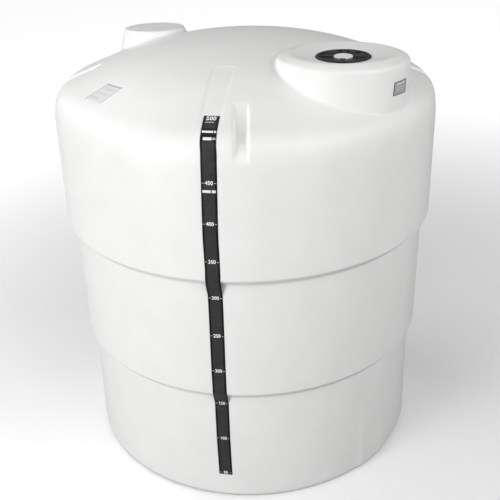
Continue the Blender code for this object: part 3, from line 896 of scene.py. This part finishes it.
class StripCourse:
    """Places points over the skin by their distance across and down the level strip."""

    def __init__(self):
        top, middle, lower = top_outline(), middle_outline(), lower_outline()
        upper_crease = UPPER_LIP_HEIGHT - STEP_DROP
        lower_crease = MIDDLE_LIP_HEIGHT - STEP_DROP
        stretches = (
            (top, top_skin, float(top.length_at_radius(STRIP_TOP_RADIUS)), upper_crease),
            (middle, plain_skin, middle.length_at_height(upper_crease), lower_crease),
            (lower, lower_skin, lower.length_at_height(lower_crease), STRIP_FOOT),
        )
        self.stretches = []
        self.length = 0.0
        for outline, skin, start, foot in stretches:
            reach = outline.length_at_height(foot) - start
            self.stretches.append((outline, skin, start, self.length, self.length + reach))
            self.length += reach
        self.bridges = []
        for (above, below), over, under in zip(STRIP_BRIDGES, (top, middle), (middle, lower)):
            ends = ((under, below), (over, above))
            radii = [outline.at(outline.length_at_height(height))[0] for outline, height in ends]
            self.bridges.append(((below, above), radii))

    def bridged(self, radius, height):
        """How far the film stands off the wall at a step, which it crosses on a straight line.

        The line runs from the step's lip to a point on the wall below. The film is on the line
        wherever that lies outside the wall.
        """
        out = np.zeros_like(radius)
        for heights, radii in self.bridges:
            line = np.interp(height, heights, radii, left=0, right=0)
            out = np.maximum(out, line - radius)
        return out

    def down_at(self, height):
        """Distance down the strip at which it passes this height."""
        for outline, _, start, before, after in self.stretches:
            down = before + outline.length_at_height(height) - start
            if down <= after:
                return down
        return self.length

    def point(self, across, down, lift):
        """The skin's point at these distances, raised along the skin's outward direction."""
        across, down, lift = np.broadcast_arrays(across, down, lift)
        point = np.zeros(down.shape + (3,))
        heights, azimuths = np.array(STRIP_COURSE).T
        for outline, skin, start, before, after in self.stretches:
            here = (down >= before - 1e-9) & (down <= after + 1e-9)
            length = start + down[here] - before
            radius, height = outline.at(length)
            azimuth = np.interp(height, heights, azimuths) + np.degrees(across[here] / radius)
            out, up = outline.facing(length)
            turn = np.radians(azimuth)
            raised = lift[here, None] * placed(out, turn, up)
            point[here] = skin(outline, azimuth, length) + raised
            point[here, :2] += self.bridged(radius, height)[:, None] * compass(turn)
        return point

    def lift(self, across, down):
        """Height of the film over the skin: a constant plus crinkles that slant over it.

        The crinkles are a product of two sine waves, 34 mm and 91 mm long. They are strongest
        round one height on the upper wall, and stronger near the lips than elsewhere.
        """
        slant = np.sin(2 * math.pi * down / 0.034 + 4 * np.sin(across / 0.011) + 1.3)
        slow = np.sin(2 * math.pi * down / 0.091 + 60 * across)
        high = np.exp(-(((down - self.down_at(CRINKLE_HEIGHT)) / 0.075) ** 2))
        lips = [self.down_at(UPPER_LIP_HEIGHT), self.down_at(MIDDLE_LIP_HEIGHT)]
        near = sum(np.exp(-(((down - lip) / 0.03) ** 2)) for lip in lips)
        strength = 0.12 + 0.88 * high + 0.5 * near
        return STRIP_LIFT + CRINKLE * strength * (0.5 + 0.5 * slant * slow)


def level_strip(course):
    """The film, as a grid across and down the course."""
    across = np.linspace(-0.5, 0.5, 19) * STRIP_WIDTH
    across, down = np.meshgrid(across, spaced((0, course.length, 0.0032)))
    points = course.point(across, down, course.lift(across, down))
    uv = np.stack([across / STRIP_WIDTH + 0.5, down], -1)
    return add_sheet("level_strip", points, uv, STRIP_FILM)


def text_flat(body, size):
    """Points and faces of a line of text, centred on the origin, as flat arrays."""
    curve = bpy.data.curves.new(body, "FONT")
    curve.body = body
    curve.size = size
    curve.offset = NUMBER_BOLD * size
    curve.align_x = "CENTER"
    curve.align_y = "CENTER"
    curve.resolution_u = 3
    holder = linked(body, curve)
    graph = bpy.context.evaluated_depsgraph_get()
    mesh = bpy.data.meshes.new_from_object(holder.evaluated_get(graph))
    points = np.zeros(len(mesh.vertices) * 3)
    mesh.vertices.foreach_get("co", points)
    faces = [list(face.vertices) for face in mesh.polygons]
    bpy.data.objects.remove(holder)
    bpy.data.curves.remove(curve)
    bpy.data.meshes.remove(mesh)
    return points.reshape(-1, 3)[:, :2], faces


def level_marks(course):
    """Numbers, ticks and bars printed on the strip, as one thin mesh laid over the film."""
    points, faces = [], []

    def lay(across, down, new_faces):
        count = sum(map(len, points))
        laid = course.point(across, down, course.lift(across, down) + PRINT_LIFT)
        points.append(laid.reshape(-1, 3))
        faces.extend([[count + i for i in face] for face in new_faces])

    def bar(left, right, top, height):
        sides, rows = spaced((left, right, 0.004)), spaced((top, top + height, 0.0025))
        across, down = np.meshgrid(sides, rows)
        lay(across, down, grid_faces(*across.shape, closed=False)[:, ::-1].tolist())

    def number(body, middle, down, size, stretch):
        flat, new_faces = text_flat(body, size)
        lay(middle + flat[:, 0] * stretch, down - flat[:, 1], new_faces)

    top_level = LEVEL_STEP * (len(LEVEL_HEIGHTS) + 1)
    number(str(top_level), *TOP_NUMBER)
    for place in PRINT_BARS:
        bar(*place)
    for level, height in enumerate(LEVEL_HEIGHTS, 1):
        down = course.down_at(height)
        number(str(top_level - LEVEL_STEP * level), 0, down, NUMBER_SIZE, NUMBER_STRETCH)
        for left, right in TICKS:
            bar(left, right, down - TICK_HEIGHT / 2, TICK_HEIGHT)
    marks = add_mesh("level_marks", np.vstack(points), faces, sharp=60, merge=False)
    return add_thickness(marks, PRINT_FILM)


# Labels: bilinear patches between four corners


def patch_grid(corners):
    """Two values that blend between four corners, over a grid, and the grid's UV map.

    The corners are the top left, the top right, the bottom right and the bottom left one.
    """
    share = np.linspace(0, 1, LABEL_POINTS)
    u, v = (grid[..., None] for grid in np.meshgrid(share, share))
    a, b, c, d = np.array(corners)
    blend = (1 - v) * ((1 - u) * a + u * b) + v * ((1 - u) * d + u * c)
    return blend[..., 0], blend[..., 1], np.concatenate([u, 1 - v], -1)


def crown_label():
    """The label on the top, whose corners are (radius, azimuth), raised off the skin."""
    outline = top_outline()
    radius, azimuth, uv = patch_grid(CROWN_LABEL)
    length = outline.length_at_radius(radius)
    out, up = outline.facing(length)
    raised = LABEL_LIFT * placed(out, np.radians(azimuth), up)
    return add_sheet("crown_label", top_skin(outline, azimuth, length) + raised, uv, LABEL_FILM)


def boss_label():
    """The label on the manway's side, whose corners are (height, azimuth about its axis)."""
    height, azimuth, uv = patch_grid(BOSS_LABEL)
    (top_radius, top), (foot_radius, foot) = MANWAY_CORNERS[-2:]
    share = (top - height) / (top - foot)
    radius = top_radius + (foot_radius - top_radius) * share + LABEL_LIFT
    points = placed(radius, np.radians(azimuth), height) + (*MANWAY, 0)
    return add_sheet("boss_label", points, uv, LABEL_FILM)


# Screw lid: outlines turned about the manway's axis


def turned(name, profile, columns, shape=None):
    """A (radius, height) line turned about the manway's axis.

    shape may change the grids of radius, height and angle before they are placed.
    """
    angle = np.linspace(0, 2 * math.pi, columns, endpoint=False)
    angle, radius = np.meshgrid(angle, profile[:, 0])
    height = np.repeat(profile[:, 1:], columns, 1)
    if shape:
        radius, height = shape(radius, height, angle)
    return add_grid(name, placed(radius, angle, height) + (*MANWAY, 0))


def window(value, low, high, soft):
    """1 between low and high, with soft ends."""
    return soft_step(value - low, soft) * (1 - soft_step(value - high, soft))


def lid_shape(radius, height, angle):
    """Ribs stand on the lid's face, and grips are scooped out of its skirt.

    A rib is a bar of constant width along a radius, with soft sides and ends. The scoops follow
    the square of a raised cosine round the skirt, faded out at its top and foot.
    """
    ribs = [stripe(radius, angle, azimuth, RIB_HALF_WIDTH, LID_SOFT) for azimuth in RIB_AZIMUTHS]
    inner, outer = RIB_ENDS
    ends = soft_step(radius - inner, LID_SOFT) * (1 - soft_step(radius - outer, LID_SOFT / 3))
    on_face = np.abs(height - LID_FACE) < 1e-6
    height = height + np.where(on_face, np.maximum.reduce(ribs) * ends * RIB_HEIGHT, 0)
    fade = window(height, LID_FOOT + 0.0018, LID_RIM_TOP - 0.0036, LID_SOFT)
    scoop = (0.5 - 0.5 * np.cos(GRIP_COUNT * angle)) ** 2
    on_skirt = radius > LID_RADIUS - 0.0001
    return radius - np.where(on_skirt, GRIP_DEPTH * scoop * fade, 0), height


def screw_lid():
    """The lid's face with its ribs, its raised rim, its gripped skirt and its hollow underside."""
    corners = [
        (0, LID_FACE),
        (RIM_INNER - 0.0008, LID_FACE),
        (RIM_INNER, LID_RIM_TOP),
        (LID_RADIUS, LID_RIM_TOP),
        (LID_RADIUS, LID_FOOT),
        (SKIRT_INNER, LID_FOOT),
        (SKIRT_INNER, LID_UNDER),
        (0, LID_UNDER),
    ]
    profile = eased(corners, (0.0005, 0.0009, 0.0016, 0.0008, 0.0008, 0.001), 4)
    return turned("screw_lid", divided(profile, 0.0015), 288, lid_shape)


def lid_centre():
    """The lid's white centre: a raised ring round a shallow dish with a small hole."""
    low = LID_FACE + CENTRE_GAP
    corners = [(radius, low + rise) for radius, rise in CENTRE_CORNERS]
    return turned("lid_centre", divided(eased(corners, CENTRE_EASES, 4), 0.003), 144)


def thread_shape(radius, height, angle):
    """A helical ridge on the collar's outer side: a raised cosine of the climb round it."""
    climb = height / THREAD_PITCH - angle / (2 * math.pi)
    ridge = (0.5 + 0.5 * np.cos(2 * math.pi * climb)) ** 2
    low, high = COLLAR_HEIGHTS
    fade = window(height, low + 0.0016, high - 0.0016, THREAD_SOFT)
    outside = radius > COLLAR_OUTER - THREAD_DEPTH - 0.0001
    return radius + np.where(outside, THREAD_DEPTH * ridge * fade, 0), height


def threaded_collar():
    """The collar under the lid, as a ring with a thread on its outer side."""
    low, high = COLLAR_HEIGHTS
    outer = COLLAR_OUTER - THREAD_DEPTH
    corners = [(COLLAR_INNER, low), (outer, low), (outer, high), (COLLAR_INNER, high)]
    profile = eased([*corners, corners[0]], (0.0004, 0.0006, 0.0006), 3)
    return turned("threaded_collar", divided(profile, 0.0007), 192, thread_shape)


# Finishes


def feed(tree, target, inputs):
    """Sets the node's sockets to values, or links them to other sockets."""
    for key, value in inputs.items():
        if isinstance(value, bpy.types.NodeSocket):
            tree.links.new(value, target.inputs[key])
        else:
            target.inputs[key].default_value = value


def node(tree, kind, inputs=None, **settings):
    """A shader node of the tree with its settings and its sockets' values or links."""
    made = tree.nodes.new("ShaderNode" + kind)
    for name, value in settings.items():
        setattr(made, name, value)
    feed(tree, made, inputs or {})
    return made


def product(tree, first, second):
    """The first value times the second."""
    return node(tree, "Math", {0: first, 1: second}, operation="MULTIPLY").outputs[0]


def total(tree, first, second):
    """The first value plus the second."""
    return node(tree, "Math", {0: first, 1: second}, operation="ADD").outputs[0]


def ranged(tree, value, old, new=(0, 1), **settings):
    """The value carried over from the old range to the new one, and held inside it."""
    inputs = {"Value": value, "From Min": old[0], "From Max": old[1]}
    inputs |= {"To Min": new[0], "To Max": new[1]}
    return node(tree, "MapRange", inputs, **settings).outputs[0]


def mixed(tree, factor, first, second):
    """A colour that goes from the first to the second with the factor."""
    return node(tree, "Mix", {0: factor, 6: first, 7: second}, data_type="RGBA").outputs[2]


def own_place(tree):
    """The point's place in the object's own space."""
    return node(tree, "TexCoord").outputs["Object"]


def noise(tree, place, **inputs):
    """The value of a noise at this place."""
    return node(tree, "TexNoise", {"Vector": place, **inputs}).outputs["Fac"]


def bumped(tree, height, strength, distance):
    """The surface's direction with these heights pressed into it."""
    inputs = {"Height": height, "Strength": strength, "Distance": distance}
    return node(tree, "Bump", inputs).outputs[0]


def effect(name, inputs, outputs, build):
    """A node group of this name: build gets the tree and its inputs, and returns the outputs."""
    group = bpy.data.node_groups.new(name, "ShaderNodeTree")
    for label, value in inputs.items():
        socket = group.interface.new_socket(label, in_out="INPUT", socket_type="NodeSocketFloat")
        socket.default_value = value
    for label in outputs:
        group.interface.new_socket(label, in_out="OUTPUT", socket_type="NodeSocketFloat")
    given = group.nodes.new("NodeGroupInput")
    results = build(group, given.outputs)
    end = group.nodes.new("NodeGroupOutput")
    for label, socket in zip(outputs, results):
        group.links.new(socket, end.inputs[label])
    return group


def moulded_grain(tree, given):
    """Fine and broad noise in the object's own space, and a height made of both."""
    place = own_place(tree)
    fine = noise(tree, place, Scale=given["Scale"], Detail=3.0)
    scale = product(tree, given["Scale"], given["Broad Share"])
    broad = noise(tree, place, Scale=scale, Detail=2.0, Roughness=0.45)
    return fine, broad, total(tree, broad, product(tree, fine, given["Fine Height"]))


def settled_dust(tree, given):
    """A mask of faint dust on faces that look up, broken up by noise."""
    facing = node(tree, "NewGeometry").outputs["Normal"]
    level = ranged(tree, node(tree, "SeparateXYZ", {0: facing}).outputs["Z"], (0.35, 1))
    cloud = noise(tree, own_place(tree), Scale=5.5, Detail=5.0, Roughness=0.62)
    both = product(tree, level, ranged(tree, cloud, (0.35, 0.75), (0.25, 1)))
    return (product(tree, both, given["Amount"]),)


def handling_scuffs(tree, given):
    """A mask of short worn streaks: stretched noise, cut off high."""
    stretch = {"Vector": own_place(tree), "Rotation": (0.4, 0.2, 0.7), "Scale": (1, 6, 2.5)}
    place = node(tree, "Mapping", stretch).outputs[0]
    streaks = noise(tree, place, Scale=given["Scale"], Detail=6.0, Roughness=0.7)
    return (ranged(tree, streaks, (0.56, 0.74), (0, given["Amount"])),)


def used(tree, group, *values):
    """The outputs of an effect placed in this tree, with its inputs' values in their order."""
    return node(tree, "Group", dict(enumerate(values)), node_tree=group).outputs


def band_mask(tree, value, low, high, soft):
    """1 where the value lies between low and high, with soft ends."""
    rise = ranged(tree, value, (low - soft, low + soft))
    fall = ranged(tree, value, (high - soft, high + soft), (1, 0))
    return product(tree, rise, fall)


def sheet_place(tree):
    """The two parts of the point's place in the sheet's UV map."""
    uv = node(tree, "UVMap", uv_map="UVMap").outputs[0]
    parts = node(tree, "SeparateXYZ", {0: uv}).outputs
    return parts["X"], parts["Y"]


def strip_tint(tree, colour):
    """Black along the film's two edges and behind its top bars, round its dark grey middle."""
    across, down = sheet_place(tree)
    inside = band_mask(tree, across, BLACK_EDGE, 1 - BLACK_EDGE, 0.012)
    colour = mixed(tree, inside, STRIP_BLACK, colour)
    return mixed(tree, band_mask(tree, down, *BLACK_BAND, 0.0004), colour, STRIP_BLACK)


def label_tint(bars, border, bar_colour, border_colour):
    """A plain printed label: a border as wide as this share of it, and bars."""

    def tint(tree, colour):
        across, up = sheet_place(tree)
        for low, high, left, right in bars:
            along = band_mask(tree, up, low, high, 0.008)
            inside = product(tree, along, band_mask(tree, across, left, right, 0.012))
            colour = mixed(tree, inside, colour, bar_colour)
        wide, high = (band_mask(tree, part, border, 1 - border, 0.01) for part in (across, up))
        return mixed(tree, product(tree, wide, high), border_colour, colour)

    return tint


def new_material(name):
    """A material, its tree and its shader."""
    material = bpy.data.materials.new(name)
    material.use_nodes = True
    return material, material.node_tree, material.node_tree.nodes["Principled BSDF"]


def plastic(
    name, effects, tint, dark, light, rough, grain, dust, scuffs, scuffed, bump, sheen=0.5
):
    """A plastic: colours by the broad noise, roughness by the fine one, dust and scuffs.

    tint is a function that may change the colour before dust and scuffs.
    """
    dark, light, scuffed = ((grey, grey, blue, 1) for grey, blue in (dark, light, scuffed))
    material, tree, shader = new_material(name)
    marks = used(tree, effects["grain"], *grain)
    colour = mixed(tree, marks["Broad"], dark, light)
    if tint:
        colour = tint(tree, colour)
    worn = used(tree, effects["scuffs"], *scuffs)["Mask"]
    colour = mixed(tree, worn, colour, scuffed)
    settled = used(tree, effects["dust"], dust)["Mask"]
    roughness = ranged(tree, marks["Fine"], (0.3, 0.7), rough)
    inputs = {
        "Base Color": mixed(tree, settled, colour, DUST_COLOUR),
        "Roughness": total(tree, roughness, product(tree, worn, 0.25)),
        "Normal": bumped(tree, marks["Height"], *bump),
        "Specular IOR Level": sheen,
    }
    feed(tree, shader, inputs)
    return material


def add_finishes():
    """The materials by name, built from shared effects."""
    grain = {"Scale": 300.0, "Broad Share": 0.03, "Fine Height": 0.3}
    scuffs = {"Scale": 20.0, "Amount": 0.5}
    effects = {
        "grain": effect("moulded_grain", grain, ("Fine", "Broad", "Height"), moulded_grain),
        "dust": effect("settled_dust", {"Amount": 0.5}, ("Mask",), settled_dust),
        "scuffs": effect("handling_scuffs", scuffs, ("Mask",), handling_scuffs),
    }
    tints = {
        "strip_film": strip_tint,
        "faint_label": label_tint(CROWN_LABEL_BARS, 0.03, FAINT_BARS, FAINT_BORDER),
        "grey_label": label_tint(BOSS_LABEL_BARS, 0.07, GREY_BARS, GREY_BORDER),
    }
    return {
        name: plastic(name, effects, tints.get(name), **finish)
        for name, finish in FINISHES.items()
    }


# Camera and studio


def add_camera():
    """The photograph's viewing angle: a 56 mm lens on a square frame, tilted down and rolled."""
    pitch, roll, yaw = CAMERA_PITCH, CAMERA_ROLL, CAMERA_YAW
    ahead = Vector(
        (math.sin(yaw) * math.cos(pitch), math.cos(yaw) * math.cos(pitch), -math.sin(pitch))
    )
    level = Vector((math.cos(yaw), -math.sin(yaw), 0))
    over = level.cross(ahead)
    right = math.cos(roll) * level + math.sin(roll) * over
    up = -math.sin(roll) * level + math.cos(roll) * over
    data = bpy.data.cameras.new("camera")
    data.lens = FOCAL_PIXELS * SENSOR / FRAME_PIXELS
    data.sensor_width = SENSOR
    camera = linked("camera", data)
    turn = Matrix((right, up, -ahead)).transposed()
    camera.matrix_world = Matrix.Translation(CAMERA_PLACE) @ turn.to_4x4()
    bpy.context.scene.camera = camera


def add_studio():
    """Soft square lights all round, a faint even surround that looks white, and a pale floor."""
    scene = bpy.context.scene
    scene.view_settings.view_transform = "Standard"
    scene.world = bpy.data.worlds.new("studio")
    scene.world.use_nodes = True
    tree = scene.world.node_tree
    seen = node(tree, "LightPath").outputs["Is Camera Ray"]
    strength = ranged(tree, seen, (0, 1), (SURROUND_LIGHT, SURROUND_SEEN))
    feed(tree, tree.nodes["Background"], {"Color": WHITE, "Strength": strength})
    for name, place, side, power in LIGHTS:
        data = bpy.data.lights.new(name, "AREA")
        data.shape = "RECTANGLE"
        data.size = data.size_y = side
        data.energy = power
        light = linked(name, data)
        light.location = place
        ahead = Vector(LIGHT_AIM) - Vector(place)
        light.rotation_euler = ahead.to_track_quat("-Z", "Y").to_euler()
    mesh = bpy.data.meshes.new("floor")
    sides = ((-1, -1), (1, -1), (1, 1), (-1, 1))
    corners = [(x * FLOOR_HALF, y * FLOOR_HALF, 0) for x, y in sides]
    mesh.from_pydata(corners, [], [(0, 1, 2, 3)])
    mesh.materials.append(floor_paper())
    floor = linked("floor", mesh)


def floor_paper():
    """Pale paper: near white to the camera, and darker in what it throws back at the tank.

    Away from the tank it also glows for the camera, as a lit backdrop would.
    """
    material, tree, shader = new_material("floor_paper")
    place = own_place(tree)
    cloud = noise(tree, place, Scale=3.0, Detail=4.0)
    seen = node(tree, "LightPath").outputs["Is Camera Ray"]
    pale = mixed(tree, cloud, *((grey, grey, grey, 1) for grey in FLOOR_SEEN))
    away = node(tree, "VectorMath", {0: place}, operation="LENGTH").outputs["Value"]
    spread = ranged(tree, away, GLOW_REACH, (0, GLOW_STRENGTH), interpolation_type="SMOOTHSTEP")
    inputs = {
        "Base Color": mixed(tree, seen, (*[FLOOR_BOUNCE] * 3, 1), pale),
        "Roughness": ranged(tree, cloud, (0, 1), (0.85, 0.95)),
        "Normal": bumped(tree, noise(tree, place, Scale=900.0), 0.1, 0.0005),
        "Specular IOR Level": 0.1,
        "Emission Color": WHITE,
        "Emission Strength": product(tree, spread, seen),
    }
    feed(tree, shader, inputs)
    return material


# Pieces


def numbered(name, count):
    """The names of a node's numbered segments."""
    return [f"{name}_{i}" for i in range(1, count + 1)]


def main():
    """Makes the finishes, the camera and the studio, and then every piece."""
    finish = add_finishes()
    add_camera()
    add_studio()
    skin, white = finish["moulded_skin"], finish["white_fitting"]
    nodes = numbered("upper_wall", 6) + numbered("top_sector", 6) + numbered("strap_slot", 4)
    nodes += ["crown_cap", "manway_drum", "manway_dish", "rear_boss_drum", "rear_boss_top"]
    dress(walled(top_section()), "tank", "moulded_shell", skin, *nodes)
    nodes = numbered("middle_wall", 6)
    dress(walled(middle_section()), "tank", "moulded_shell", skin, *nodes)
    nodes = ["base_plate", "outlet_flat"] + numbered("lower_wall", 6)
    dress(walled(lower_section()), "tank", "moulded_shell", skin, *nodes)
    course = StripCourse()
    nodes = [f"level_strip_{part}" for part in ("lower", "middle", "upper", "top")]
    dress(level_strip(course), "tank", "strip_film", finish["strip_film"], *nodes)
    dress(level_marks(course), "tank", "label_film", finish["white_print"])
    dress(crown_label(), "tank", "label_film", finish["faint_label"], "dome_label")
    dress(boss_label(), "tank", "label_film", finish["grey_label"], "manway_label")
    dress(threaded_collar(), "tank", "white_fitting", white, "lid_collar")
    dress(screw_lid(), "lid", "black_plastic", finish["black_plastic"], "lid")
    dress(lid_centre(), "lid", "white_fitting", white, "lid_hub")
    for slot in bpy.data.objects["lid_seal"].material_slots:
        slot.material = finish["seal_rubber"]


main()
